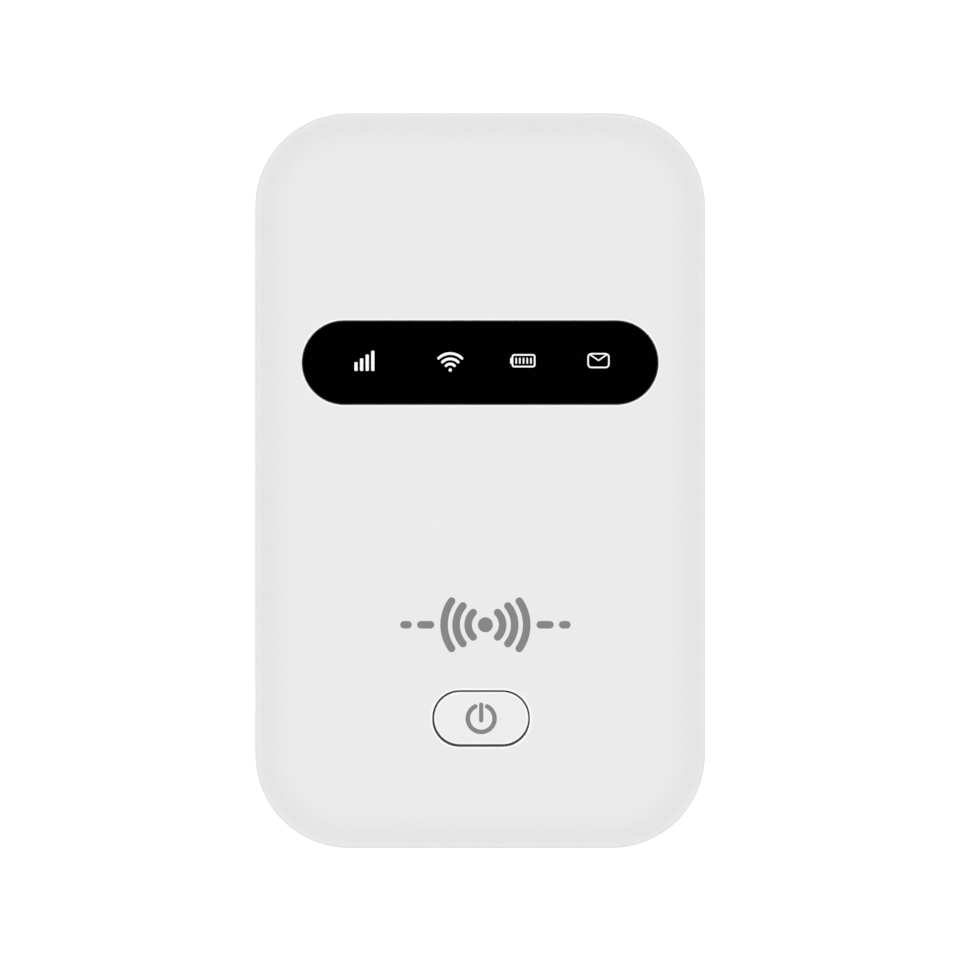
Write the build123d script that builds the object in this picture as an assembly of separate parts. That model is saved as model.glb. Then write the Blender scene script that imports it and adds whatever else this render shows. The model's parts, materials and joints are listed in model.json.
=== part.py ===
from build123d import *
import os

# A pocket mobile hotspot that stands on its bottom end. Sizes are in millimetres.
# X runs to the right as seen from the front, Y from the front face to the back cover, and Z up.
# The origin is the middle of the bottom end.

# ---- Outside of the housing
width = 60.0
height = 98.0
thickness = 14.0
corner_radius = 12.45
front_y = -thickness / 2
back_y = thickness / 2
middle_z = height / 2

# ---- Walls and blends of the two shells
shell_wall = 1.5
cover_wall = 1.4
front_blend_inset = 7.0
front_side_y = front_y + 4.5
cover_blend_inset = 4.5
cover_side_y = back_y - 3.5
core_inset = 11.9
seam_y = 2.0
seam_gap = 0.15
seam_chamfer = 0.2
bevel_width = 0.24
bevel_depth = 0.1

# ---- Depths of the stack, front to back
plate_inner_y = front_y + shell_wall
board_front_y = -3.3
board_back_y = -2.3
floor_front_y = -0.7
floor_back_y = 0.1
chassis_rim_y = 3.9
bay_rim_y = 4.7
battery_front_y = 0.2
battery_back_y = 5.3
cover_inner_y = back_y - cover_wall
film = 0.06

# ---- Display window and what lights it
window_opening = (47.54, 11.28)
window_gap = 0.09
window_edge_chamfer = 0.06
window_z = middle_z + 15.71
ledge_y = front_y + 0.9
window_back_y = front_y + 0.8
indicator_x = (-15.5, -4.1, 5.7, 15.7)

# ---- Power button, whose cap sits a little up and to the right in its opening.
# The gaps are the mean ones, at the sides and above and below.
button_opening = (13.0, 7.54, 3.62)
button_gaps = (0.22, 0.27)
button_cap_radius = 3.47
button_flange = (14.4, 9.0, 4.2)
button_x = 0.14
button_z = middle_z - 31.63
button_opening_place = (button_x - 0.02, button_z - 0.05)
button_proud = 0.12
button_travel = 0.25
switch_well = button_travel + 0.15
button_flange_y = plate_inner_y + 0.1
button_flange_back_y = button_flange_y + 0.7
power_plunger_y = board_front_y - 0.8

# ---- Fixings
boss_places = [(x, z) for x in (-23.0, 23.0) for z in (8.0, 90.0)]
boss_radius = 2.4
pilot_radius = 0.82
screw_radius = 0.8
screw_head_radius = 1.6
screw_head_height = 0.9
post_places = [(x, z) for x in (-25.0, 25.0) for z in (15.0, 49.0, 80.0)]
post_radius = 1.2
pin_places = [(-25.0, 15.0), (25.0, 80.0)]
pin_radius = 0.7
clamp_places = [(x, z) for x in (-25.0, 25.0) for z in (37.0, 62.0)]

# ---- Rear chassis, battery bay and battery
chassis_inset = 1.65
chassis_wall = 1.0
bay_wall = 1.0
bay_gap = 0.4
battery_width = 44.0
battery_bottom_z = 12.0
battery_top_z = 70.0
battery_cap_z = 64.5
battery_middle_z = (battery_bottom_z + battery_top_z) / 2
battery_length = battery_top_z - battery_bottom_z
terminal_x = (-3.0, 0.0, 3.0)
terminal_y = 2.3

# ---- Cover tongues: the side they stand on, as an outward direction, and their place along it
tongue_places = [(side, 0, along) for side in (-1, 1) for along in (-19.0, 19.0)]
tongue_places += [(0, side, along) for side in (-1, 1) for along in (-12.0, 12.0)]
tongue_width = 5.0
tongue_tip_y = 0.9
tongue_insets = (1.7, 2.5)

# ---- USB socket, at the bottom end
usb_outer = (8.94, 3.16)
usb_inner = (8.34, 2.56)
usb_slot = (9.4, 3.6)
usb_y = board_back_y + usb_outer[1] / 2
usb_mouth_z = 0.9
usb_back_z = 8.2

# ---- SIM socket and card, above the battery
sim_size = (12.3, 8.8)
sim_left_x = -14.0
sim_z = 82.0
sim_front_y = -1.83
sim_back_y = -1.16
sim_rail = 1.2
sim_side_gap = 0.2
sim_bay = (-20.0, 16.0, 75.5, 88.5)

# ---- Reset switch, under a pin hole in the chassis
reset_place = (20.5, 82.0)
reset_body_y = -1.1

# ---- Shield cans on the board: width, height, centre x, centre z
can_wall = 0.2
can_back_y = -0.9
modem_can = (21.0, 26.0, -10.5, 33.0)
wifi_can = (18.0, 18.0, 12.0, 33.0)

# ---- Antenna films on the chassis floor: width, height, centre x, centre z
antenna_film = 0.12
main_antenna_place = (38.0, 5.0, 0.0, 92.0)
diversity_antenna_place = (3.6, 40.0, -25.4, 40.0)
wifi_antenna_place = (3.6, 25.0, 25.4, 42.5)
clip_places = [(12.0, 91.6), (-25.4, 24.0), (25.4, 33.0)]


# ---------------------------------------------------------------- shared shapes

def prism(sketch, start_y, end_y):
    """Extrude a sketch of the front view, x right and z up, from one depth to another."""
    plane = Plane(origin=(0, start_y, 0), x_dir=(1, 0, 0), z_dir=(0, -1, 0))
    return extrude(plane * sketch, amount=start_y - end_y)


def slab(size_x, size_z, start_y, end_y, x=0.0, z=0.0, radius=0.0):
    """A rectangle of the front view between two depths, with rounded corners if radius is given."""
    face = RectangleRounded(size_x, size_z, radius) if radius else Rectangle(size_x, size_z)
    return prism(Pos(x, z) * face, start_y, end_y)


def block(x_range, y_range, z_range):
    """A plain block from its lowest and highest x, y and z."""
    size_x, size_z = x_range[1] - x_range[0], z_range[1] - z_range[0]
    return slab(size_x, size_z, *y_range, sum(x_range) / 2, sum(z_range) / 2)


def peg(radius, start_y, end_y, x, z):
    """A round pin along the depth."""
    return prism(Pos(x, z) * Circle(radius), start_y, end_y)


def outline(inset):
    """The housing's front view, drawn in by an inset."""
    size = (width - 2 * inset, height - 2 * inset)
    return Pos(0, middle_z) * RectangleRounded(*size, corner_radius - inset)


def edge_block(side_x, side_z, along, breadth, insets, y_range):
    """A block near one side of the housing, between two insets from that side."""
    reach = (width if side_x else height) / 2 - sum(insets) / 2
    depth = insets[1] - insets[0]
    size_x, size_z = (depth, breadth) if side_x else (breadth, depth)
    x = side_x * reach if side_x else along
    z = middle_z + (along if side_x else side_z * reach)
    return slab(size_x, size_z, *y_range, x, z)


def group(shapes):
    """Several separate solids kept in one node."""
    return Compound(children=list(shapes))


def edges_at_depth(shape, depth, place_z, reach_z):
    """Edges that lie at one depth, no further than reach_z above or below place_z."""
    return [
        edge for edge in shape.edges()
        if abs(edge.center().Y - depth) < 0.001 and abs(edge.center().Z - place_z) < reach_z
    ]


def pan(side_inset, blend_inset, face_y, side_y, rim_y, rim_chamfer=0.0):
    """A solid pan: a flat face, an elliptical blend down to a straight side, and an open rim plane."""
    rise = 1 if rim_y > face_y else -1
    first_angle = 180 if face_y < side_y else 90
    blend = EllipticalCenterArc(
        (blend_inset, side_y), blend_inset - side_inset, abs(face_y - side_y), first_angle, arc_size=90
    )
    rim = [(side_inset, rim_y)]
    if rim_chamfer:
        rim = [(side_inset, rim_y - rise * rim_chamfer), (side_inset + rim_chamfer, rim_y)]
    straight = Polyline(
        (side_inset, side_y), *rim, (core_inset, rim_y), (core_inset, face_y), (blend_inset, face_y)
    )
    section = make_face([*blend.edges(), *straight.edges()])
    front_view = Plane(origin=(0, 0, 0), x_dir=(1, 0, 0), z_dir=(0, -1, 0))
    path = (front_view * outline(0)).wire()
    start, along = path @ 0, path % 0
    inward = Vector(0, 1, 0).cross(along)
    if inward.dot(start - Vector(0, 0, middle_z)) > 0:
        inward, along = -inward, -along
    rim_band = sweep(Plane(origin=start, x_dir=inward, z_dir=along) * section, path=path)
    return rim_band + prism(outline(core_inset), face_y, rim_y)


# ---------------------------------------------------------------- housing

def window_outline(grow=0.0):
    """Front view of the window opening, drawn out all round by a distance."""
    length, breadth = window_opening
    return Pos(0, window_z) * SlotOverall(length + 2 * grow, breadth + 2 * grow)


def button_outline(grow=0.0):
    """Front view of the button opening, drawn out all round by a distance."""
    size_x, size_z, radius = button_opening
    return Pos(*button_opening_place) * RectangleRounded(size_x + 2 * grow, size_z + 2 * grow, radius + grow)


def rim_bevel(opening):
    """Cutter for the shallow bevel round an opening, which also reaches out past the front face."""
    ends = []
    for grow, y in ((0.0, front_y + bevel_depth), (2 * bevel_width, front_y - bevel_depth)):
        ends.append(Plane(origin=(0, y, 0), x_dir=(1, 0, 0), z_dir=(0, -1, 0)) * opening(grow))
    return loft(ends, ruled=True)


def front_shell():
    """Face plate and side wall in one moulding, with its bosses, posts and openings."""
    outer = pan(0, front_blend_inset, front_y, front_side_y, seam_y, seam_chamfer)
    inner = pan(shell_wall, front_blend_inset, plate_inner_y, front_side_y, seam_y + 1)
    root_y = plate_inner_y - 0.2
    shell = outer - inner
    for x, z in boss_places:
        shell += peg(boss_radius, root_y, floor_front_y, x, z)
    for x, z in post_places:
        shell += peg(post_radius, root_y, board_front_y, x, z)
    for x, z in pin_places:
        shell += peg(pin_radius, root_y, board_back_y + 0.4, x, z)
    for x, z in boss_places:
        shell -= peg(pilot_radius, plate_inner_y + 0.4, floor_front_y, x, z)
    shell -= prism(window_outline(), front_y - 1, ledge_y)
    for x in indicator_x:
        shell -= slab(5.0, 4.0, ledge_y - 0.1, plate_inner_y + 0.1, x, window_z, 0.6)
    shell -= prism(button_outline(), front_y - 1, plate_inner_y + 1)
    for opening in (window_outline, button_outline):
        shell -= rim_bevel(opening)
    usb_plane = Plane(origin=(0, usb_y, -1), x_dir=(1, 0, 0), z_dir=(0, 0, 1))
    return shell - extrude(usb_plane * SlotOverall(*usb_slot), amount=shell_wall + 2)


def rear_chassis():
    """Tray behind the board: floor, rim, battery bay, board clamps, and windows for what passes through."""
    inner_inset = chassis_inset + chassis_wall
    chassis = prism(outline(chassis_inset), floor_front_y, floor_back_y)
    chassis += prism(outline(chassis_inset) - outline(inner_inset), floor_front_y, chassis_rim_y)
    bay_size = (battery_width + 2 * bay_gap, battery_length + 2 * bay_gap)
    bay = Rectangle(bay_size[0] + 2 * bay_wall, bay_size[1] + 2 * bay_wall) - Rectangle(*bay_size)
    chassis += prism(Pos(0, battery_middle_z) * bay, floor_front_y, bay_rim_y)
    rib_start = bay_size[0] / 2 + bay_wall / 2
    rib_end = width / 2 - inner_inset + chassis_wall / 2
    for side in (-1, 1):
        for z in (16.0, 65.5):
            x_range = sorted((side * rib_start, side * rib_end))
            chassis += block(x_range, (floor_front_y, 2.6), (z - 0.5, z + 0.5))
    for x, z in clamp_places:
        chassis += peg(post_radius, board_back_y, floor_front_y, x, z)
    for x, z in boss_places:
        chassis -= peg(screw_radius + 0.15, floor_front_y - 1, floor_back_y + 1, x, z)
    left, right, low, high = sim_bay
    bay_middle = ((left + right) / 2, (low + high) / 2)
    chassis -= slab(right - left, high - low, floor_front_y - 1, floor_back_y + 1, *bay_middle, 1.5)
    connector_top_z = battery_top_z + 4.2
    chassis -= block((-5.3, 5.3), (floor_front_y - 1, floor_back_y + 1), (battery_top_z, connector_top_z))
    chassis -= block((-5.6, 5.6), (floor_back_y, bay_rim_y + 1), (battery_top_z, battery_top_z + 2))
    chassis -= block((20.0, 26.0), (1.0, bay_rim_y + 1), (36.0, 48.0))
    chassis -= block((-4.9, 4.9), (floor_front_y - 1, usb_y + 1.9), (0, usb_back_z + 0.8))
    chassis -= peg(0.8, floor_front_y - 1, floor_back_y + 1, *reset_place)
    for x, z in clip_places:
        chassis -= slab(1.8, 3.2, floor_front_y - 1, floor_back_y + 1, x, z)
    for side_x, side_z, along in tongue_places:
        notch = (chassis_inset - 0.1, inner_inset + 0.1)
        chassis -= edge_block(side_x, side_z, along, tongue_width + 0.8, notch, (0.5, bay_rim_y))
    return chassis


def housing_screws():
    """Four pan-head screws that hold the chassis on the front shell's bosses."""
    head_y = floor_back_y + screw_head_height
    screws = []
    for x, z in boss_places:
        screw = peg(screw_head_radius, floor_back_y, head_y, x, z)
        screw = fillet(edges_at_depth(screw, head_y, z, screw_head_radius), 0.3)
        screw += peg(screw_radius, -4.6, floor_back_y, x, z)
        for size_x, size_z in ((1.7, 0.4), (0.4, 1.7)):
            screw -= slab(size_x, size_z, head_y - 0.45, head_y + 1, x, z)
        screws.append(screw)
    return group(screws)


def back_cover():
    """Lift-off back cover with eight guide tongues and a notch for a fingernail."""
    rim_y = seam_y + seam_gap
    outer = pan(0, cover_blend_inset, back_y, cover_side_y, rim_y, seam_chamfer)
    inner = pan(cover_wall, cover_blend_inset, cover_inner_y, cover_side_y, rim_y - 1)
    cover = outer - inner
    for side_x, side_z, along in tongue_places:
        root = (cover_wall - 0.2, tongue_insets[1])
        cover += edge_block(side_x, side_z, along, tongue_width, root, (rim_y + 0.2, 4.3))
        cover += edge_block(side_x, side_z, along, tongue_width, tongue_insets, (tongue_tip_y, rim_y + 0.3))
    notch_plane = Plane(origin=(width / 2 + 1, rim_y, 22.0), x_dir=(0, 0, 1), z_dir=(1, 0, 0))
    return cover - extrude(notch_plane * SlotOverall(10.0, 1.5), amount=-1.8)


def cover_foam_pad():
    """Foam pad inside the cover that presses on the battery."""
    return slab(30.0, 40.0, battery_back_y + film, cover_inner_y, 0, battery_middle_z, 1.5)


def bay_label():
    """Blank label on the floor of the battery bay."""
    return slab(36.0, 44.0, floor_back_y, floor_back_y + film, 0, battery_middle_z, 1.5)


# ---------------------------------------------------------------- window and indicators

def window_pill(inset, start_y, end_y):
    """The window opening's shape, drawn in by an inset, between two depths."""
    return prism(window_outline(-inset), start_y, end_y)


def display_window():
    """Tinted window with full-round ends and a polished edge."""
    lens = window_pill(window_gap, front_y + 0.02, window_back_y)
    return chamfer(lens.faces().sort_by(Axis.Y)[0].edges(), window_edge_chamfer)


def window_adhesive():
    """Ring of tape that bonds the window to its ledge."""
    ring = window_pill(0.2, window_back_y, ledge_y)
    return ring - window_pill(1.5, window_back_y, ledge_y)


def diffuser_film():
    """Frosted film behind the indicators, inside the tape ring."""
    return window_pill(1.65, window_back_y, ledge_y)


def light_baffle():
    """Black frame with one chamber per indicator, which keeps their light apart."""
    baffle = slab(44.0, 8.0, plate_inner_y + 0.05, board_front_y, 0, window_z, 1.0)
    for x in indicator_x:
        baffle -= slab(6.2, 5.6, plate_inner_y - 1, board_front_y + 1, x, window_z, 0.5)
    return baffle


def indicator_leds():
    """Four side-by-side indicator LEDs, one in each chamber."""
    leds = []
    for x in indicator_x:
        led = slab(1.6, 0.8, board_front_y - 0.25, board_front_y, x, window_z)
        led += slab(1.1, 0.8, board_front_y - 0.6, board_front_y - 0.25, x, window_z)
        leds.append(led)
    return group(leds)


# ---------------------------------------------------------------- board

def main_board():
    """Circuit board with narrow ends that pass between the screw bosses."""
    board = Pos(0, middle_z) * RectangleRounded(54.8, 75.6, 2.0)
    board += Pos(0, 8.4) * RectangleRounded(38.0, 12.0, 1.5)
    board += Pos(0, 89.0) * RectangleRounded(38.0, 9.0, 1.5)
    for x, z in pin_places:
        board -= Pos(x, z) * Circle(pin_radius + 0.1)
    return prism(board, board_front_y, board_back_y)


def chip(size_x, size_z, tall, x, z):
    """A chip package on the back of the board."""
    return slab(size_x, size_z, board_back_y, board_back_y + tall, x, z)


def shield_can(size_x, size_z, x, z):
    """A thin metal can over part of the board, open towards the board."""
    can = slab(size_x, size_z, board_back_y, can_back_y, x, z, 0.6)
    hollow = (size_x - 2 * can_wall, size_z - 2 * can_wall)
    can -= slab(*hollow, board_back_y, can_back_y - can_wall, x, z, 0.4)
    for side_x in (-1, 1):
        for side_z in (-1, 1):
            place = (x + side_x * (size_x / 2 - 2.5), z + side_z * (size_z / 2 - 2.5))
            can -= peg(0.6, can_back_y - 1, can_back_y + 1, *place)
    return can


def rf_amplifiers():
    """Two amplifier chips inside the Wi-Fi can."""
    return group(chip(3.0, 3.0, 0.7, x, 27.5) for x in (8.0, 16.0))


def power_inductors():
    """Two coils of the charging circuit beside the power chip."""
    return group(chip(2.6, 2.2, 1.1, 16.5, z) for z in (13.6, 17.2))


def board_passives():
    """Rows of small capacitors and resistors around the cans and the power chip."""
    rows = [(-20.0 + 2.0 * i, z) for z in (49.0, 51.0) for i in range(10)]
    rows += [(-16.0 + 2.0 * i, z) for z in (12.5, 14.5) for i in range(4)]
    rows += [(5.0 + 2.0 * i, z) for z in (45.0, 47.0) for i in range(8)]
    return group(chip(1.0, 0.5, 0.35, x, z) for x, z in rows)


def switch_body(size_x, size_z, board_y, top_y, well_radius, x, z):
    """A small push switch with a round well that its plunger moves in."""
    outward = 1 if top_y > board_y else -1
    body = slab(size_x, size_z, *sorted((board_y, top_y)), x, z, 0.3)
    return body - peg(well_radius, *sorted((top_y - outward * switch_well, top_y + outward)), x, z)


def power_switch_plunger():
    """Plunger of the power switch, which moves with the button."""
    return peg(0.9, power_plunger_y, power_plunger_y + 0.3, button_x, button_z)


def reset_switch_plunger():
    """Plunger of the reset switch, pressed with a pin through the chassis."""
    return peg(0.6, reset_body_y - 0.05, reset_body_y + 0.25, *reset_place)


def power_button():
    """Button cap with a flange behind the face plate and a post over the switch."""
    cap_front_y = front_y - button_proud
    place = (button_x, button_z)
    cap_x, cap_z = button_opening[0] - 2 * button_gaps[0], button_opening[1] - 2 * button_gaps[1]
    button = slab(cap_x, cap_z, cap_front_y, button_flange_back_y, *place, button_cap_radius)
    button = fillet(edges_at_depth(button, cap_front_y, button_z, cap_z), 0.3)
    flange_x, flange_z, flange_radius = button_flange
    button += slab(flange_x, flange_z, button_flange_y, button_flange_back_y, *place, flange_radius)
    return button + peg(1.0, button_flange_back_y, power_plunger_y - 0.02, *place)


# ---------------------------------------------------------------- sockets and contacts

def usb_prism(size, start_z, end_z):
    """A full-round slot shape of the bottom view between two heights."""
    plane = Plane(origin=(0, usb_y, start_z), x_dir=(1, 0, 0), z_dir=(0, 0, 1))
    return extrude(plane * SlotOverall(*size), amount=end_z - start_z)


def usb_socket_shell():
    """Metal shell of the USB socket, closed at the back, with four solder tabs."""
    shell = usb_prism(usb_outer, usb_mouth_z, usb_back_z)
    for side in (-1, 1):
        x_range = sorted((side * 3.0, side * 5.4))
        for z in (3.6, 7.2):
            shell += block(x_range, (board_back_y, board_back_y + 0.25), (z - 0.6, z + 0.6))
    return shell - usb_prism(usb_inner, usb_mouth_z - 1, usb_back_z - 0.3)


def usb_socket_tongue():
    """Contact tongue in the middle of the USB socket."""
    return block((-3.35, 3.35), (usb_y - 0.35, usb_y + 0.35), (usb_mouth_z + 1.1, usb_back_z - 0.3))


def sim_socket_base():
    """Floor, two rails and a stop wall that hold the SIM card."""
    reach = sim_size[1] / 2 + sim_side_gap
    low, high = sim_z - reach - sim_rail, sim_z + reach + sim_rail
    floor_y = sim_front_y - 0.05
    stop_x = sim_left_x - 0.2
    left, right = stop_x - sim_rail, -1.5
    rail_y = sim_back_y + 0.06
    base = block((left, right), (board_back_y, floor_y), (low, high))
    base += block((left, right), (floor_y, rail_y), (low, low + sim_rail))
    base += block((left, right), (floor_y, rail_y), (high - sim_rail, high))
    return base + block((left, stop_x), (floor_y, rail_y), (low, high))


def sim_socket_cover():
    """Sheet metal lid of the SIM socket, cut back where the card is pulled."""
    reach = sim_size[1] / 2 + sim_side_gap + sim_rail
    left = sim_left_x - 0.2 - sim_rail
    rail_y = sim_back_y + 0.06
    lid = block((left, -3.5), (rail_y, rail_y + 0.15), (sim_z - reach, sim_z + reach))
    return lid - peg(3.2, rail_y - 1, rail_y + 1, -3.5, sim_z)


def sim_socket_contacts():
    """Six contact blades under the SIM card."""
    floor_y = sim_front_y - 0.05
    return group(
        slab(1.6, 0.8, floor_y, floor_y + 0.03, x, sim_z + row * 2.54)
        for x in (-10.6, -5.0) for row in (-1, 0, 1)
    )


def sim_card():
    """Smallest standard SIM card, with one cut corner."""
    card = slab(*sim_size, sim_front_y, sim_back_y, sim_left_x + sim_size[0] / 2, sim_z, 0.8)
    corner = Pos(sim_left_x + sim_size[0], sim_z - sim_size[1] / 2) * Rot(0, 0, 45) * Rectangle(2.3, 2.3)
    return card - prism(corner, sim_front_y - 1, sim_back_y + 1)


def battery_connector():
    """Block on the board that carries the battery's contact springs."""
    low = battery_top_z + 0.35
    return block((-5.0, 5.0), (board_back_y, terminal_y + 1.1), (low, low + 3.5))


def battery_contact_springs():
    """Three springs that meet the battery's terminals."""
    y_range = (terminal_y - 0.5, terminal_y + 0.5)
    z_range = (battery_top_z + 0.05, battery_top_z + 0.35)
    return group(block((x - 0.4, x + 0.4), y_range, z_range) for x in terminal_x)


# ---------------------------------------------------------------- antennas

def antenna(size_x, size_z, x, z):
    """A film antenna whose edges are slit from alternate sides into a meander."""
    start_y, end_y = floor_back_y, floor_back_y + antenna_film
    film_body = slab(size_x, size_z, start_y, end_y, x, z, 0.6)
    upright = size_z > size_x
    run, breadth = max(size_x, size_z), min(size_x, size_z)
    count = int(run // 5)
    pitch = run / (count + 1)
    for i in range(count):
        along = (i + 1) * pitch - run / 2
        across = breadth * 0.2 * (-1) ** i
        slit = (breadth * 0.7, 0.5, across, along) if upright else (0.5, breadth * 0.7, along, across)
        film_body -= slab(slit[0], slit[1], start_y - 1, end_y + 1, x + slit[2], z + slit[3])
    return film_body


def antenna_clips():
    """Bent spring clips on the board, one under each antenna."""
    clips = []
    for x, z in clip_places:
        clip = slab(1.2, 2.4, board_back_y, board_back_y + 0.15, x, z)
        clip += slab(1.2, 0.2, board_back_y, floor_back_y, x, z - 1.1)
        clips.append(clip + slab(1.2, 1.8, floor_back_y - 0.15, floor_back_y, x, z - 0.3))
    return group(clips)


# ---------------------------------------------------------------- battery

def battery_block():
    """The whole battery's envelope, with softened edges."""
    size = (battery_width, battery_length)
    body = slab(*size, battery_front_y, battery_back_y, 0, battery_middle_z, 2.0)
    return fillet(body.faces().filter_by(Axis.Y).edges(), 0.5)


def battery_slice(low_z, high_z):
    """The part of the battery between two heights."""
    return battery_block() & block((-30, 30), (battery_front_y - 1, battery_back_y + 1), (low_z, high_z))


def terminal_pads(side_gap):
    """The three terminals' blocks, grown sideways by a gap where they are used as a cutter."""
    half_x, half_y = 1.1 + side_gap, 0.7 + side_gap
    y_range = (terminal_y - half_y, terminal_y + half_y)
    z_range = (battery_top_z - 0.3, battery_top_z)
    return [block((x - half_x, x + half_x), y_range, z_range) for x in terminal_x]


def battery_end_cap():
    """Plastic cap on the battery's upper end, with a pocket for each terminal."""
    cap = battery_slice(battery_cap_z, battery_top_z)
    for pocket in terminal_pads(0.1):
        cap -= pocket
    return cap


def battery_label():
    """Blank label on the back of the battery."""
    return slab(38.0, 42.0, battery_back_y, battery_back_y + film, 0, battery_bottom_z + 26.0, 1.5)


# ---------------------------------------------------------------- nodes

nodes = {
    "front_shell": front_shell(),
    "rear_chassis": rear_chassis(),
    "housing_screws": housing_screws(),
    "bay_label": bay_label(),
    "display_window": display_window(),
    "window_adhesive": window_adhesive(),
    "diffuser_film": diffuser_film(),
    "light_baffle": light_baffle(),
    "indicator_leds": indicator_leds(),
    "main_board": main_board(),
    "modem_shield": shield_can(*modem_can),
    "wifi_shield": shield_can(*wifi_can),
    "modem_chip": chip(12.0, 12.0, 0.9, -10.5, 37.5),
    "memory_chip": chip(9.0, 7.0, 0.8, -10.5, 25.5),
    "wifi_chip": chip(6.5, 6.5, 0.75, 12.0, 35.5),
    "power_chip": chip(5.0, 5.0, 0.8, 10.5, 15.5),
    "rf_amplifiers": rf_amplifiers(),
    "power_inductors": power_inductors(),
    "crystal_oscillator": chip(2.5, 2.0, 0.6, -22.8, 30.0),
    "board_passives": board_passives(),
    "power_switch_body": switch_body(4.2, 3.2, board_front_y, board_front_y - 0.55, 1.0, button_x, button_z),
    "reset_switch_body": switch_body(3.2, 3.2, board_back_y, reset_body_y, 0.7, *reset_place),
    "usb_socket_shell": usb_socket_shell(),
    "usb_socket_tongue": usb_socket_tongue(),
    "sim_socket_base": sim_socket_base(),
    "sim_socket_cover": sim_socket_cover(),
    "sim_socket_contacts": sim_socket_contacts(),
    "battery_connector": battery_connector(),
    "battery_contact_springs": battery_contact_springs(),
    "main_antenna": antenna(*main_antenna_place),
    "diversity_antenna": antenna(*diversity_antenna_place),
    "wifi_antenna": antenna(*wifi_antenna_place),
    "antenna_clips": antenna_clips(),
    "power_button": power_button(),
    "power_switch_plunger": power_switch_plunger(),
    "reset_switch_plunger": reset_switch_plunger(),
    "sim_card": sim_card(),
    "battery_cell": battery_slice(battery_bottom_z, battery_cap_z),
    "battery_end_cap": battery_end_cap(),
    "battery_terminals": group(terminal_pads(0.0)),
    "battery_label": battery_label(),
    "back_cover": back_cover(),
    "cover_foam_pad": cover_foam_pad(),
}

os.makedirs("parts", exist_ok=True)
for name, shape in nodes.items():
    export_step(shape, f"parts/{name}.step")
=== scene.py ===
import json
import math

import bpy
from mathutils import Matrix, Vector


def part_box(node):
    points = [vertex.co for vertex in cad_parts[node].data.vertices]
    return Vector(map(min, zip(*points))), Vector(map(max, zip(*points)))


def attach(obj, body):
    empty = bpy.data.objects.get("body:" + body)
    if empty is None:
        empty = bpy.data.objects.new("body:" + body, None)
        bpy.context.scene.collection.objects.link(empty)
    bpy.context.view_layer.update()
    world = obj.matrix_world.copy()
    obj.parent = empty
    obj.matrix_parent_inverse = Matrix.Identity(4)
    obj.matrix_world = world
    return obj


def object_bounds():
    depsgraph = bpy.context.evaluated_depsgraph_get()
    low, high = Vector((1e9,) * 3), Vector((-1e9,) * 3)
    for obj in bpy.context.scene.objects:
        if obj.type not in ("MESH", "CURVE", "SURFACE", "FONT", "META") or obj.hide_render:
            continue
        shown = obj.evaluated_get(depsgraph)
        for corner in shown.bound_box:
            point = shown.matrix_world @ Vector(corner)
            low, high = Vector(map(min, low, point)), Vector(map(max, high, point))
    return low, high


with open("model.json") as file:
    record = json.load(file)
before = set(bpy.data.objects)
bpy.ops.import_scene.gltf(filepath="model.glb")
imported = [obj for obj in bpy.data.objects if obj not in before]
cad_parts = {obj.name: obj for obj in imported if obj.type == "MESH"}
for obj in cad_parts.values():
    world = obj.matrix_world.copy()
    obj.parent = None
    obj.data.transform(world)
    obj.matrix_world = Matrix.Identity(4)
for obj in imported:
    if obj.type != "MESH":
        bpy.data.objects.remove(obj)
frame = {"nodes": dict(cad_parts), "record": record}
cad_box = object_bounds()

# The looks of a pocket mobile hotspot: materials for its CAD pieces, printed and lit symbols on its face,
# a pale floor, soft light and a frontal camera. Lengths are in metres, and MM turns millimetres into them.
MM = 0.001


def middle(node):
    """The middle of a CAD node's box."""
    low_corner, high_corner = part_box(node)
    return (low_corner + high_corner) / 2


def front_of(node):
    """The y of a CAD node's front."""
    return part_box(node)[0].y


# The power switch is a fixed piece behind the button, so it marks the button's middle.
body_centre = middle("front_shell")
window_centre = middle("display_window")
button_centre = middle("power_switch_body")
face_y = front_of("front_shell")
window_y = front_of("display_window")
cap_y = front_of("power_button")


# ---------------------------------------------------------------- node helpers

class Nodes:
    """A node tree with short ways to add and join nodes."""

    def __init__(self, tree):
        self.tree = tree

    def add(self, kind, **settings):
        """A new node, with its properties set by name."""
        node = self.tree.nodes.new(kind)
        for key, value in settings.items():
            setattr(node, key, value)
        return node

    def join(self, source, target):
        self.tree.links.new(source, target)

    def math(self, operation, a, b=0.0):
        """One arithmetic step; each side is an output or a number."""
        node = self.add("ShaderNodeMath", operation=operation)
        for socket, value in zip(node.inputs, (a, b)):
            if isinstance(value, (int, float)):
                socket.default_value = value
            else:
                self.join(value, socket)
        return node.outputs["Value"]

    def ramp(self, value, low, high, start=0.0, end=1.0, shape="LINEAR"):
        """Map a value that runs from start to end onto low to high, clamped."""
        node = self.add("ShaderNodeMapRange", interpolation_type=shape)
        node.inputs["From Min"].default_value = start
        node.inputs["From Max"].default_value = end
        node.inputs["To Min"].default_value = low
        node.inputs["To Max"].default_value = high
        self.join(value, node.inputs["Value"])
        return node.outputs["Result"]


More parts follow.
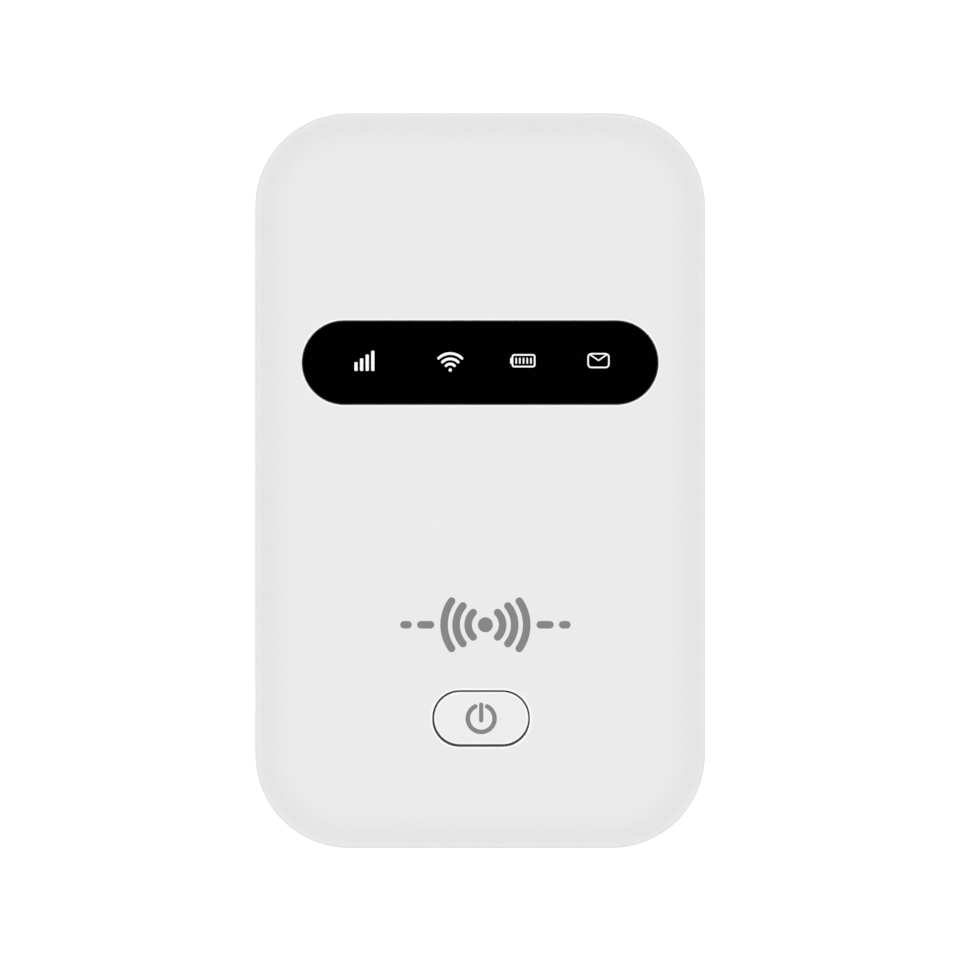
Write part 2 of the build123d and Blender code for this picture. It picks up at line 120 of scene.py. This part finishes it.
class Shader(Nodes):
    """A material's nodes, with ways to read its surface and to set its main shader."""

    def __init__(self, name):
        self.material = bpy.data.materials.new(name)
        self.material.use_nodes = True
        super().__init__(self.material.node_tree)
        self.bsdf = next(n for n in self.tree.nodes if n.type == "BSDF_PRINCIPLED")
        surface = self.add("ShaderNodeTexCoord")
        self.place = surface.outputs["Object"]
        self.normal = surface.outputs["Normal"]

    def set(self, **values):
        """Constant values on the main shader's own sockets; an underscore stands for a space."""
        for key, value in values.items():
            self.bsdf.inputs[key.replace("_", " ")].default_value = value

    def colour(self, value):
        self.join(value, self.bsdf.inputs["Base Color"])

    def roughness(self, value):
        self.join(value, self.bsdf.inputs["Roughness"])

    def bump(self, height, depth_mm, strength=1.0):
        """Raise the surface by a height from 0 to 1, times a depth in millimetres."""
        node = self.add("ShaderNodeBump")
        node.inputs["Distance"].default_value = depth_mm * MM
        node.inputs["Strength"].default_value = strength
        self.join(height, node.inputs["Height"])
        self.join(node.outputs["Normal"], self.bsdf.inputs["Normal"])

    def mix(self, factor, first, second):
        """Mix two colours, each an output or an (r, g, b)."""
        node = self.add("ShaderNodeMix", data_type="RGBA")
        self.join(factor, node.inputs["Factor"])
        for socket, value in ((node.inputs[6], first), (node.inputs[7], second)):
            if isinstance(value, tuple):
                socket.default_value = (*value, 1.0)
            else:
                self.join(value, socket)
        return node.outputs[2]

    def noise(self, per_mm, detail=2.0, roughness=0.5, stretch=None):
        """Noise from 0 to 1, with about that many features per millimetre."""
        place = self.place
        if stretch:
            mapping = self.add("ShaderNodeMapping")
            mapping.inputs["Scale"].default_value = stretch
            self.join(place, mapping.inputs["Vector"])
            place = mapping.outputs["Vector"]
        node = self.add("ShaderNodeTexNoise")
        node.inputs["Scale"].default_value = per_mm / MM
        node.inputs["Detail"].default_value = detail
        node.inputs["Roughness"].default_value = roughness
        self.join(place, node.inputs["Vector"])
        return node.outputs["Fac"]

    def cells(self, per_mm, randomness=1.0, distance="EUCLIDEAN"):
        """A cell pattern, with about that many cells per millimetre."""
        node = self.add("ShaderNodeTexVoronoi", distance=distance)
        node.inputs["Scale"].default_value = per_mm / MM
        node.inputs["Randomness"].default_value = randomness
        self.join(self.place, node.inputs["Vector"])
        return node

    def coordinate(self, axis):
        """One coordinate of the point, in metres, in the object's own frame."""
        node = self.add("ShaderNodeSeparateXYZ")
        self.join(self.place, node.inputs["Vector"])
        return node.outputs[axis]

    def near(self, axis, centre, reach):
        """1 where a coordinate is within a reach of a centre, in metres, and 0 beyond."""
        offset = self.math("ABSOLUTE", self.math("SUBTRACT", self.coordinate(axis), centre))
        return self.math("LESS_THAN", offset, reach)

    def inside(self, centre, reach_x, reach_z):
        """1 inside a rectangle seen from the front, and 0 outside."""
        return self.math("MULTIPLY", self.near("X", centre.x, reach_x), self.near("Z", centre.z, reach_z))

    def tilt(self):
        """0 where the surface faces straight to the front or back, up to 1 where it faces sideways."""
        split = self.add("ShaderNodeSeparateXYZ")
        self.join(self.normal, split.inputs["Vector"])
        return self.math("SUBTRACT", 1.0, self.math("ABSOLUTE", split.outputs["Y"]))

    def sloped(self, rise, fall):
        """1 where the tilt is past its rise and short of its fall, each a soft step from start to end."""
        tilt = self.tilt()
        return self.math("MULTIPLY", self.ramp(tilt, 0.0, 1.0, *rise), self.ramp(tilt, 1.0, 0.0, *fall))


def shade(tone, spread):
    """A grey pair around a tone, as (darker, lighter)."""
    return (tone - spread,) * 3, (tone + spread,) * 3


# ---------------------------------------------------------------- materials

# Painted highlight: the glossy edges are coloured this whiter white so that they read as bright rims.
PAINTED_HIGHLIGHT_WHITE = (0.97, 0.97, 0.97)
# Painted shade: the walls far into the button's gap are coloured this darker grey so that the gap reads
# dark.
PAINTED_SHADE_GREY = (0.4, 0.4, 0.4)


def white_plastic(name, tone, polish_and_highlight, gap):
    """Matte moulded white: faint mottling, a fine spark-eroded grain, and glossy edges painted whiter as a
    painted highlight.

    The two functions each give an output. The first is 1 on the glossy edges, which are both glossier and
    painted whiter as a painted highlight. The second is 1 on the walls far into the button's gap, which are
    painted darker grey as painted shade.
    """
    s = Shader(name)
    gloss_and_highlight, gap_shade = polish_and_highlight(s), gap(s)
    plain = s.mix(s.noise(0.35, detail=4.0), *shade(tone, 0.006))
    # Painted highlight on the glossy edges, and painted shade on the walls of the button's gap.
    s.colour(s.mix(gap_shade, s.mix(gloss_and_highlight, plain, PAINTED_HIGHLIGHT_WHITE), PAINTED_SHADE_GREY))
    grain = s.noise(5.5, detail=3.0, roughness=0.6)
    matte = s.ramp(grain, 0.44, 0.56, 0.3, 0.7)
    s.roughness(s.math("SUBTRACT", matte, s.math("MULTIPLY", gloss_and_highlight, 0.2)))
    s.bump(grain, 0.006, 0.5)
    s.set(IOR=1.49)
    return s.material


def shell_plastic():
    """The two shells: the shallow bevels round the window and the button are glossier and painted whiter as
    a painted highlight, and the upright walls of the button's opening are painted darker grey as painted
    shade.
    """
    bevels_reach_x, bevels_reach_z = 24.3 * MM, 40 * MM
    opening_reach_x, opening_reach_z, opening_depth = 7 * MM, 4 * MM, 1.6 * MM
    upright_tilt = 0.9

    def bevels(s):
        inside = s.inside(body_centre, bevels_reach_x, bevels_reach_z)
        return s.math("MULTIPLY", s.sloped(rise=(0.03, 0.05), fall=(0.12, 0.2)), inside)

    # The upright walls of the button's opening, which are painted darker grey as painted shade.
    def opening_wall(s):
        upright = s.math("GREATER_THAN", s.tilt(), upright_tilt)
        beside = s.inside(button_centre, opening_reach_x, opening_reach_z)
        return s.math("MULTIPLY", upright, s.math("MULTIPLY", beside, s.near("Y", face_y, opening_depth)))

    return white_plastic("shell_plastic", 0.80, bevels, opening_wall)


def button_plastic():
    """The cap: its rounded edge is glossier and painted whiter as a painted highlight, and its sides behind
    that edge are painted darker grey as painted shade.
    """
    edge_depth = 0.35 * MM

    def rounded_edge(s):
        sloped = s.sloped(rise=(0.01, 0.04), fall=(0.5, 0.8))
        return s.math("MULTIPLY", sloped, s.near("Y", cap_y, edge_depth))

    # The cap's sides behind its rounded edge, which are painted darker grey as painted shade.
    def behind_edge(s):
        return s.math("GREATER_THAN", s.coordinate("Y"), cap_y + edge_depth)

    return white_plastic("button_plastic", 0.82, rounded_edge, behind_edge)


def dark_plastic(name, tone, grain_per_mm=4.0):
    """Matte moulded dark plastic with a slightly coarser grain."""
    s = Shader(name)
    grain = s.noise(grain_per_mm, detail=4.0, roughness=0.65)
    s.colour(s.mix(grain, *shade(tone, tone * 0.18)))
    s.roughness(s.ramp(grain, 0.42, 0.6, 0.3, 0.7))
    s.bump(grain, 0.012, 0.6)
    return s.material


def chassis_plastic():
    return dark_plastic("chassis_plastic", 0.035, 3.0)


def black_plastic():
    return dark_plastic("black_plastic", 0.012)


def window_black():
    """Polished window, printed black behind, with the faintest unevenness in its polish."""
    s = Shader("window_black")
    wipe = s.noise(0.12, detail=3.0, stretch=(1.0, 1.0, 3.0))
    s.colour(s.mix(wipe, *shade(0.0002, 0.0001)))
    s.roughness(s.ramp(wipe, 0.03, 0.075, 0.3, 0.7))
    s.set(IOR=1.5)
    return s.material


def foam_tape():
    """Closed-cell tape: small dark cells."""
    s = Shader("foam_tape")
    depth = s.cells(6.0).outputs["Distance"]
    s.colour(s.mix(depth, (0.008, 0.008, 0.009), (0.03, 0.03, 0.032)))
    s.bump(depth, 0.03)
    s.set(Roughness=0.85)
    return s.material


def foam():
    """Soft dark foam with open pores of several sizes."""
    s = Shader("foam")
    fine = s.noise(6.0, detail=4.0, roughness=0.7)
    coarse = s.noise(1.6)
    pores = s.math("MULTIPLY", fine, coarse)
    s.colour(s.mix(s.ramp(pores, 0.0, 1.0, 0.1, 0.45), (0.012, 0.012, 0.013), (0.06, 0.06, 0.065)))
    s.bump(pores, 0.12)
    s.set(Roughness=0.9)
    return s.material


def diffuser():
    """Frosted film that spreads the indicators' light."""
    s = Shader("diffuser")
    frost = s.noise(9.0, detail=3.0)
    s.colour(s.mix(frost, (0.72, 0.73, 0.75), (0.84, 0.85, 0.87)))
    s.roughness(s.ramp(frost, 0.35, 0.6, 0.3, 0.7))
    s.bump(frost, 0.006)
    return s.material


def led_resin():
    """Yellow phosphor under clear resin."""
    s = Shader("led_resin")
    s.colour(s.mix(s.noise(7.0), (0.78, 0.62, 0.16), (0.86, 0.76, 0.34)))
    s.set(Roughness=0.16, Coat_Weight=0.6, Coat_Roughness=0.05)
    return s.material


def circuit_board():
    """Green solder mask over copper: blocks of traces that run different ways, pours and tinned vias."""
    traces_per_mm, pour_share, via_radius = 2.2, 0.2, 0.11
    s = Shader("circuit_board")
    chance = s.add("ShaderNodeSeparateColor")
    s.join(s.cells(0.2, 0.8, "CHEBYCHEV").outputs["Color"], chance.inputs["Color"])
    x, z = s.coordinate("X"), s.coordinate("Z")
    copper = s.math("GREATER_THAN", chance.outputs["Green"], 1 - pour_share)
    for i, along in enumerate((x, z, s.math("ADD", x, z))):
        phase = s.math("FRACT", s.math("MULTIPLY", along, traces_per_mm / MM))
        traces = s.ramp(phase, 0.0, 1.0, 0.5, 0.6)
        chosen = s.math("COMPARE", s.math("FLOOR", s.math("MULTIPLY", chance.outputs["Red"], 3.0)), i)
        copper = s.math("MAXIMUM", copper, s.math("MULTIPLY", traces, chosen))
    mask = s.mix(copper, (0.004, 0.050, 0.028), (0.010, 0.105, 0.058))
    vias = s.math("LESS_THAN", s.cells(0.6, 0.85).outputs["Distance"], via_radius)
    s.colour(s.mix(vias, mask, (0.5, 0.44, 0.27)))
    s.bump(copper, 0.03)
    s.set(Roughness=0.34, Coat_Weight=0.25, Coat_Roughness=0.12)
    return s.material


def chip_epoxy():
    """Moulded chip package: near black, finely speckled."""
    s = Shader("chip_epoxy")
    speckle = s.noise(8.0, detail=5.0, roughness=0.75)
    s.colour(s.mix(speckle, (0.009, 0.009, 0.010), (0.030, 0.030, 0.032)))
    s.bump(speckle, 0.008)
    s.set(Roughness=0.48)
    return s.material


def ferrite():
    """Pressed dark ferrite of the inductors."""
    s = Shader("ferrite")
    grain = s.noise(5.0, detail=5.0, roughness=0.7)
    s.colour(s.mix(grain, (0.05, 0.047, 0.045), (0.14, 0.135, 0.13)))
    s.bump(grain, 0.02)
    s.set(Roughness=0.62)
    return s.material


def ceramic():
    """Small ceramic parts: tan bodies with smoother tinned patches."""
    s = Shader("ceramic")
    spots = s.noise(2.2, detail=1.0)
    s.colour(s.mix(s.ramp(spots, 0.0, 1.0, 0.45, 0.55), (0.16, 0.10, 0.06), (0.42, 0.40, 0.38)))
    s.roughness(s.ramp(spots, 0.5, 0.28, 0.45, 0.55))
    return s.material


def sheet_metal(name, tone, brush=(1.0, 1.0, 0.04), roughness=(0.24, 0.42)):
    """Plated sheet metal with rolling marks drawn out along one direction."""
    s = Shader(name)
    marks = s.noise(7.0, detail=4.0, roughness=0.7, stretch=brush)
    blotch = s.noise(0.3, detail=3.0)
    darker = tuple(c * 0.88 for c in tone)
    s.colour(s.mix(s.math("MULTIPLY", marks, blotch), darker, tone))
    s.roughness(s.ramp(marks, *roughness, 0.3, 0.7))
    s.bump(marks, 0.003, 0.5)
    s.set(Metallic=1.0)
    return s.material


def tinned_steel():
    return sheet_metal("tinned_steel", (0.66, 0.66, 0.64))


def socket_steel():
    return sheet_metal("socket_steel", (0.60, 0.60, 0.61), brush=(0.05, 1.0, 1.0), roughness=(0.18, 0.32))


def screw_steel():
    return sheet_metal("screw_steel", (0.28, 0.28, 0.29), brush=(1.0, 0.1, 1.0), roughness=(0.26, 0.4))


def gold_contact():
    return sheet_metal("gold_contact", (0.86, 0.62, 0.27), roughness=(0.16, 0.28))


def antenna_film():
    """Copper seen through amber film, with faint slanting stripes."""
    s = Shader("antenna_film")
    wave = s.add("ShaderNodeTexWave", bands_direction="DIAGONAL")
    wave.inputs["Scale"].default_value = 0.5 / MM
    s.join(s.place, wave.inputs["Vector"])
    stripes = s.ramp(wave.outputs["Fac"], 0.0, 1.0, 0.4, 0.6)
    s.colour(s.mix(stripes, (0.33, 0.125, 0.035), (0.39, 0.155, 0.045)))
    s.bump(wave.outputs["Fac"], 0.01)
    s.set(Roughness=0.26, Metallic=0.55, Coat_Weight=0.5, Coat_Roughness=0.08)
    return s.material


def blank_label(node):
    """Plain white film with a thin printed frame and a band, paper-like tooth and slight lifting waves."""
    frame_outside, frame_inside, band_height = 1.4 * MM, 1.7 * MM, 6.5 * MM
    low_corner, high_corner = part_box(node)
    reach = (high_corner - low_corner) / 2
    s = Shader("label_of_" + node)
    tooth = s.noise(8.0, detail=4.0)
    waves = s.noise(0.08, detail=1.0)
    outer = s.inside(middle(node), reach.x - frame_outside, reach.z - frame_outside)
    inner = s.inside(middle(node), reach.x - frame_inside, reach.z - frame_inside)
    below_band = s.math("LESS_THAN", s.coordinate("Z"), high_corner.z - band_height)
    printed = s.math("SUBTRACT", outer, s.math("MULTIPLY", inner, below_band))
    paper = s.mix(tooth, (0.66, 0.66, 0.65), (0.76, 0.76, 0.75))
    s.colour(s.mix(printed, paper, (0.12, 0.19, 0.25)))
    s.bump(s.math("ADD", s.math("MULTIPLY", tooth, 0.15), waves), 0.05)
    s.set(Roughness=0.42)
    return s.material


def battery_wrap():
    """Shrink film over a foil cell: dark, glossy, with long soft wrinkles."""
    s = Shader("battery_wrap")
    wrinkles = s.noise(0.16, roughness=0.4, stretch=(1.0, 1.0, 0.45))
    s.colour(s.mix(wrinkles, (0.022, 0.026, 0.032), (0.045, 0.052, 0.062)))
    s.roughness(s.ramp(wrinkles, 0.2, 0.34, 0.3, 0.7))
    s.bump(wrinkles, 0.12)
    s.set(Coat_Weight=0.4, Coat_Roughness=0.12)
    return s.material


def card_plastic():
    """The SIM card's white sheet, with a slight tooth."""
    s = Shader("card_plastic")
    tooth = s.noise(6.0, detail=3.0)
    s.colour(s.mix(tooth, (0.70, 0.70, 0.68), (0.78, 0.78, 0.76)))
    s.roughness(s.ramp(tooth, 0.28, 0.38, 0.3, 0.7))
    s.bump(tooth, 0.004)
    return s.material


def grey_ink():
    """Screen-printed grey ink, a touch uneven where the mesh let it through."""
    s = Shader("grey_ink")
    mesh_marks = s.noise(6.0)
    s.colour(s.mix(mesh_marks, *shade(0.207, 0.012)))
    s.roughness(s.ramp(mesh_marks, 0.42, 0.55, 0.3, 0.7))
    s.bump(mesh_marks, 0.003)
    return s.material


def lit_symbol():
    """White symbols lit from behind, with the slight unevenness of a diffuser."""
    s = Shader("lit_symbol")
    spread = s.noise(1.2, detail=1.0)
    s.colour(s.mix(spread, *shade(0.012, 0.002)))
    s.join(s.mix(spread, (0.95, 0.96, 0.97), (1.0, 1.0, 1.0)), s.bsdf.inputs["Emission Color"])
    s.set(Emission_Strength=1.0, Roughness=0.3)
    return s.material


MATERIALS = {
    "shell": shell_plastic, "button": button_plastic, "chassis": chassis_plastic,
    "black_plastic": black_plastic, "window": window_black, "tape": foam_tape, "diffuser": diffuser,
    "led": led_resin, "board": circuit_board, "chip": chip_epoxy, "ferrite": ferrite,
    "ceramic": ceramic, "tinned_steel": tinned_steel, "socket_steel": socket_steel,
    "screw_steel": screw_steel, "gold": gold_contact, "antenna_film": antenna_film,
    "battery_wrap": battery_wrap, "sim_plastic": card_plastic, "foam": foam,
    "legend": grey_ink, "lit_symbol": lit_symbol,
}
finishes = {slot: make() for slot, make in MATERIALS.items()}

for part in frame["record"]["subparts"]:
    name, slot = part["node"], part["material_slot"]
    finish = blank_label(name) if slot == "label" else finishes[slot]
    for material_slot in frame["nodes"][name].material_slots:
        material_slot.material = finish


# ---------------------------------------------------------------- outlines of prints, in millimetres

def arc(x, z, radius, start, end, steps):
    """Points along an arc, with angles in degrees from +x towards +z."""
    angles = [math.radians(start + (end - start) * i / steps) for i in range(steps + 1)]
    return [(x + radius * math.cos(a), z + radius * math.sin(a)) for a in angles]


def disc(x, z, radius):
    """Outline of a dot; its last point is one step short of its first, because the outline closes itself."""
    steps = 24
    return arc(x, z, radius, 0, 360, steps)[:-1]


def arc_stroke(x, z, radius, start, end, width):
    """Outline of a stroke that follows an arc and has round ends."""
    half, side_steps, cap_steps = width / 2, 28, 8
    first, last = arc(x, z, radius, start, end, 1)
    outer = arc(x, z, radius + half, start, end, side_steps)
    end_cap = arc(*last, half, end, end + 180, cap_steps)
    inner = arc(x, z, radius - half, end, start, side_steps)
    start_cap = arc(*first, half, start + 180, start + 360, cap_steps)
    return outer + end_cap[1:-1] + inner + start_cap[1:-1]


def line_stroke(start, end, width):
    """Outline of a straight stroke with round ends."""
    half, cap_steps = width / 2, 8
    heading = math.degrees(math.atan2(end[1] - start[1], end[0] - start[0]))
    end_cap = arc(*end, half, heading - 90, heading + 90, cap_steps)
    start_cap = arc(*start, half, heading + 90, heading + 270, cap_steps)
    return end_cap + start_cap


def rounded_box(x, z, width, height, radius):
    """Outline of a rounded rectangle, from its centre."""
    reach_x, reach_z, corner_steps = width / 2 - radius, height / 2 - radius, 6
    loop = []
    for i, (side_x, side_z) in enumerate(((1, 1), (-1, 1), (-1, -1), (1, -1))):
        loop += arc(x + side_x * reach_x, z + side_z * reach_z, radius, 90 * i, 90 * i + 90, corner_steps)
    return loop


# How far a print or symbol stands proud of its surface. The rest of its thickness is under the surface.
PROUD = 0.012


def filled(loops, thickness):
    """A thin sheet in the xy plane, filled between an outline and its holes."""
    curve = bpy.data.curves.new("outline", "CURVE")
    curve.dimensions = "2D"
    curve.fill_mode = "BOTH"
    curve.extrude = thickness * MM / 2
    for loop in loops:
        spline = curve.splines.new("POLY")
        spline.points.add(len(loop) - 1)
        for point, (x, z) in zip(spline.points, loop):
            point.co = (x * MM, z * MM, 0, 1)
        spline.use_cyclic_u = True
    holder = bpy.data.objects.new("outline", curve)
    bpy.context.scene.collection.objects.link(holder)
    sheet = bpy.data.meshes.new_from_object(holder)
    bpy.data.objects.remove(holder)
    return sheet


def flat_print(name, shapes, surface_y, thickness, body, slot):
    """A thin print or inlay: each shape is a list of loops, the first an outline and the rest its holes."""
    sheet_y = surface_y + (thickness / 2 - PROUD) * MM
    vertices, faces = [], []
    for loops in shapes:
        sheet = filled(loops, thickness)
        first = len(vertices)
        vertices += [(v.co.x, sheet_y - v.co.z, v.co.y) for v in sheet.vertices]
        faces += [[first + i for i in face.vertices] for face in sheet.polygons]
    mesh = bpy.data.meshes.new(name)
    mesh.from_pydata(vertices, [], faces)
    mesh.materials.append(finishes[slot])
    piece = bpy.data.objects.new(name, mesh)
    bpy.context.scene.collection.objects.link(piece)
    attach(piece, body)


# ---------------------------------------------------------------- symbols lit behind the window

SYMBOL_THICKNESS = 0.02
window_x = window_centre.x / MM
window_z = window_centre.z / MM


def signal_symbol():
    """Four bars of rising height on one baseline."""
    first_x, base_z = window_x - 16.53, window_z - 1.09
    width, pitch, corner = 0.41, 0.745, 0.08
    shortest, rise = 1.14, 0.507
    bars = []
    for i in range(4):
        height = shortest + rise * i
        bars.append([rounded_box(first_x + pitch * i, base_z + height / 2, width, height, corner)])
    return bars


def wireless_symbol():
    """A dot under three arcs."""
    x, z = window_x - 3.98, window_z - 0.98
    dot_radius, stroke = 0.21, 0.33
    arcs = [[arc_stroke(x, z, radius, 45, 135, stroke)] for radius in (0.8, 1.49, 2.2)]
    return [[disc(x, z, dot_radius)]] + arcs


def charge_symbol():
    """A battery lying on its side, terminal to the left, with five cells."""
    x, z = window_x + 5.78, window_z + 0.25
    width, height, wall = 3.16, 1.76, 0.2
    case = [
        rounded_box(x, z, width, height, 0.34),
        rounded_box(x, z, width - 2 * wall, height - 2 * wall, 0.16),
    ]
    terminal = [rounded_box(x - width / 2 - 0.08, z, 0.22, 0.76, 0.07)]
    cell_pitch = 0.493
    cells = [[rounded_box(x + cell_pitch * i, z, 0.19, 0.8, 0.08)] for i in range(-2, 3)]
    return [case, terminal] + cells


def message_symbol():
    """An envelope with its flap as a V."""
    x, z = window_x + 15.76, window_z + 0.27
    width, height, wall = 2.95, 2.01, 0.19
    case = [
        rounded_box(x, z, width, height, 0.54),
        rounded_box(x, z, width - 2 * wall, height - 2 * wall, 0.36),
    ]
    top = z + height / 2
    flap_z, apex_z = top - 0.2, top - 0.98
    flap_reach, flap_stroke = 1.12, 0.16
    flap = [[line_stroke((x + side * flap_reach, flap_z), (x, apex_z), flap_stroke)] for side in (-1, 1)]
    return [case] + flap


for name, symbol in (
    ("signal_symbol", signal_symbol), ("wireless_symbol", wireless_symbol),
    ("charge_symbol", charge_symbol), ("message_symbol", message_symbol),
):
    flat_print(name, symbol(), window_y, SYMBOL_THICKNESS, "housing", "lit_symbol")


# ---------------------------------------------------------------- grey prints

INK_THICKNESS = 0.014


def power_mark():
    """The standard power symbol: a ring, open at its top, and a stem."""
    x, z = button_centre.x / MM, button_centre.z / MM - 0.05
    radius, half_opening, ring_stroke = 1.79, 26, 0.59
    stem_top, stem_bottom, stem_stroke = 1.85, -0.25, 0.55
    ring = [arc_stroke(x, z, radius, 90 + half_opening, 450 - half_opening, ring_stroke)]
    stem = [line_stroke((x, z + stem_top), (x, z + stem_bottom), stem_stroke)]
    return [ring, stem]


def radio_mark():
    """A generic radio symbol: a dot between waves, with two dashes on each side."""
    x, z = body_centre.x / MM + 0.7, body_centre.z / MM - 19.2
    stroke = 1.0
    shapes = [[disc(x, z, stroke)]]
    for side, heading in ((1, 0), (-1, 180)):
        for radius, spread in ((2.3, 45), (3.9, 40), (5.5, 35)):
            shapes.append([arc_stroke(x, z, radius, heading - spread, heading + spread, stroke)])
        for start, end in ((7.3, 8.6), (10.3, 10.85)):
            shapes.append([line_stroke((x + side * start, z), (x + side * end, z), stroke)])
    return shapes


flat_print("power_mark", power_mark(), cap_y, INK_THICKNESS, "power_button", "legend")
flat_print("radio_mark", radio_mark(), face_y, INK_THICKNESS, "housing", "legend")


# ---------------------------------------------------------------- floor, light and camera

def floor():
    """A plain pale floor that reads as white paper.

    It neither lights the hotspot nor shades it, so the studio's light alone gives the hotspot its tones.
    """
    size, clearance, glow = 6.0, 0.02 * MM, 0.73
    floor_z = cad_box[0].z - clearance
    corners = [(-size, -size), (size, -size), (size, size), (-size, size)]
    mesh = bpy.data.meshes.new("floor")
    mesh.from_pydata([(x, y, floor_z) for x, y in corners], [], [(0, 1, 2, 3)])
    s = Shader("floor_paper")
    fibre = s.noise(0.05, detail=3.0)
    s.colour(s.mix(fibre, *shade(0.37, 0.01)))
    s.set(Roughness=0.9, Emission_Color=(1, 1, 1, 1), Emission_Strength=glow)
    mesh.materials.append(s.material)
    obj = bpy.data.objects.new("floor", mesh)
    obj.visible_diffuse = False
    obj.visible_glossy = False
    obj.visible_shadow = False
    bpy.context.scene.collection.objects.link(obj)


# The studio's light: its level, what comes from all round, what the front adds and the back loses,
# the brighter lobe at front and back, and the ring, with its place and narrowness along the front axis.
STUDIO_LEVEL = 0.861
ALL_ROUND = 0.62
FRONT_GAIN = 0.8
LOBE = 0.4
RING = 2.4
RING_PLACE = -0.5
RING_NARROWNESS = 5.0
# The dark patch that the window mirrors fades out between these angles from the front axis, in degrees.
PATCH_DARK, PATCH_EDGE = 9, 16
BACKDROP_LEVEL = 1.1


def sky():
    """Soft light from all round, strongest from the front, with a dark patch there that the window mirrors.

    A bright ring a little behind the hotspot's sides lights its rounded edges, as white cards would.
    The camera itself sees a plain white backdrop.
    """
    world = bpy.data.worlds.new("studio")
    bpy.context.scene.world = world
    world.use_nodes = True
    s = Nodes(world.node_tree)
    s.tree.nodes.clear()

    def background():
        node = s.add("ShaderNodeBackground")
        node.inputs["Color"].default_value = (1, 1, 1, 1)
        return node

    split = s.add("ShaderNodeSeparateXYZ")
    s.join(s.add("ShaderNodeTexCoord").outputs["Generated"], split.inputs["Vector"])
    front = s.math("MULTIPLY", split.outputs["Y"], -1.0)
    squared = s.math("MULTIPLY", front, front)
    lobe = s.math("MULTIPLY", s.math("MULTIPLY", squared, squared), LOBE)
    slope = s.math("MULTIPLY", front, FRONT_GAIN)
    strength = s.math("ADD", s.math("ADD", ALL_ROUND, lobe), slope)
    from_ring = s.math("MULTIPLY", s.math("SUBTRACT", front, RING_PLACE), RING_NARROWNESS)
    falloff = s.math("MULTIPLY", s.math("MULTIPLY", from_ring, from_ring), -1.0)
    ring = s.math("MULTIPLY", s.math("POWER", math.e, falloff), RING)
    strength = s.math("ADD", strength, ring)
    edge, dark = (math.cos(math.radians(angle)) for angle in (PATCH_EDGE, PATCH_DARK))
    strength = s.math("MULTIPLY", strength, s.ramp(front, 1.0, 0.0, edge, dark, "SMOOTHSTEP"))

    light = background()
    s.join(s.math("MULTIPLY", strength, STUDIO_LEVEL), light.inputs["Strength"])
    backdrop = background()
    backdrop.inputs["Strength"].default_value = BACKDROP_LEVEL
    mix = s.add("ShaderNodeMixShader")
    s.join(s.add("ShaderNodeLightPath").outputs["Is Camera Ray"], mix.inputs["Fac"])
    s.join(light.outputs["Background"], mix.inputs[1])
    s.join(backdrop.outputs["Background"], mix.inputs[2])
    s.join(mix.outputs["Shader"], s.add("ShaderNodeOutputWorld").inputs["Surface"])


def camera():
    """A long lens square to the front face, far enough that the sides don't show."""
    lens, sensor, view_width = 800.0, 36.0, 128.16 * MM
    aside, above = -0.02 * MM, 0.08 * MM
    distance = view_width * lens / sensor
    data = bpy.data.cameras.new("camera")
    data.lens = lens
    data.sensor_width = sensor
    data.clip_start = distance / 20
    data.clip_end = distance * 20
    obj = bpy.data.objects.new("camera", data)
    obj.location = (body_centre.x + aside, -distance, body_centre.z + above)
    obj.rotation_euler = (math.radians(90), 0, 0)
    bpy.context.scene.collection.objects.link(obj)
    bpy.context.scene.camera = obj


floor()
sky()
camera()

view = bpy.context.scene.view_settings
view.view_transform = "Standard"
view.look = "None"
view.exposure = 0.0
view.gamma = 1.0
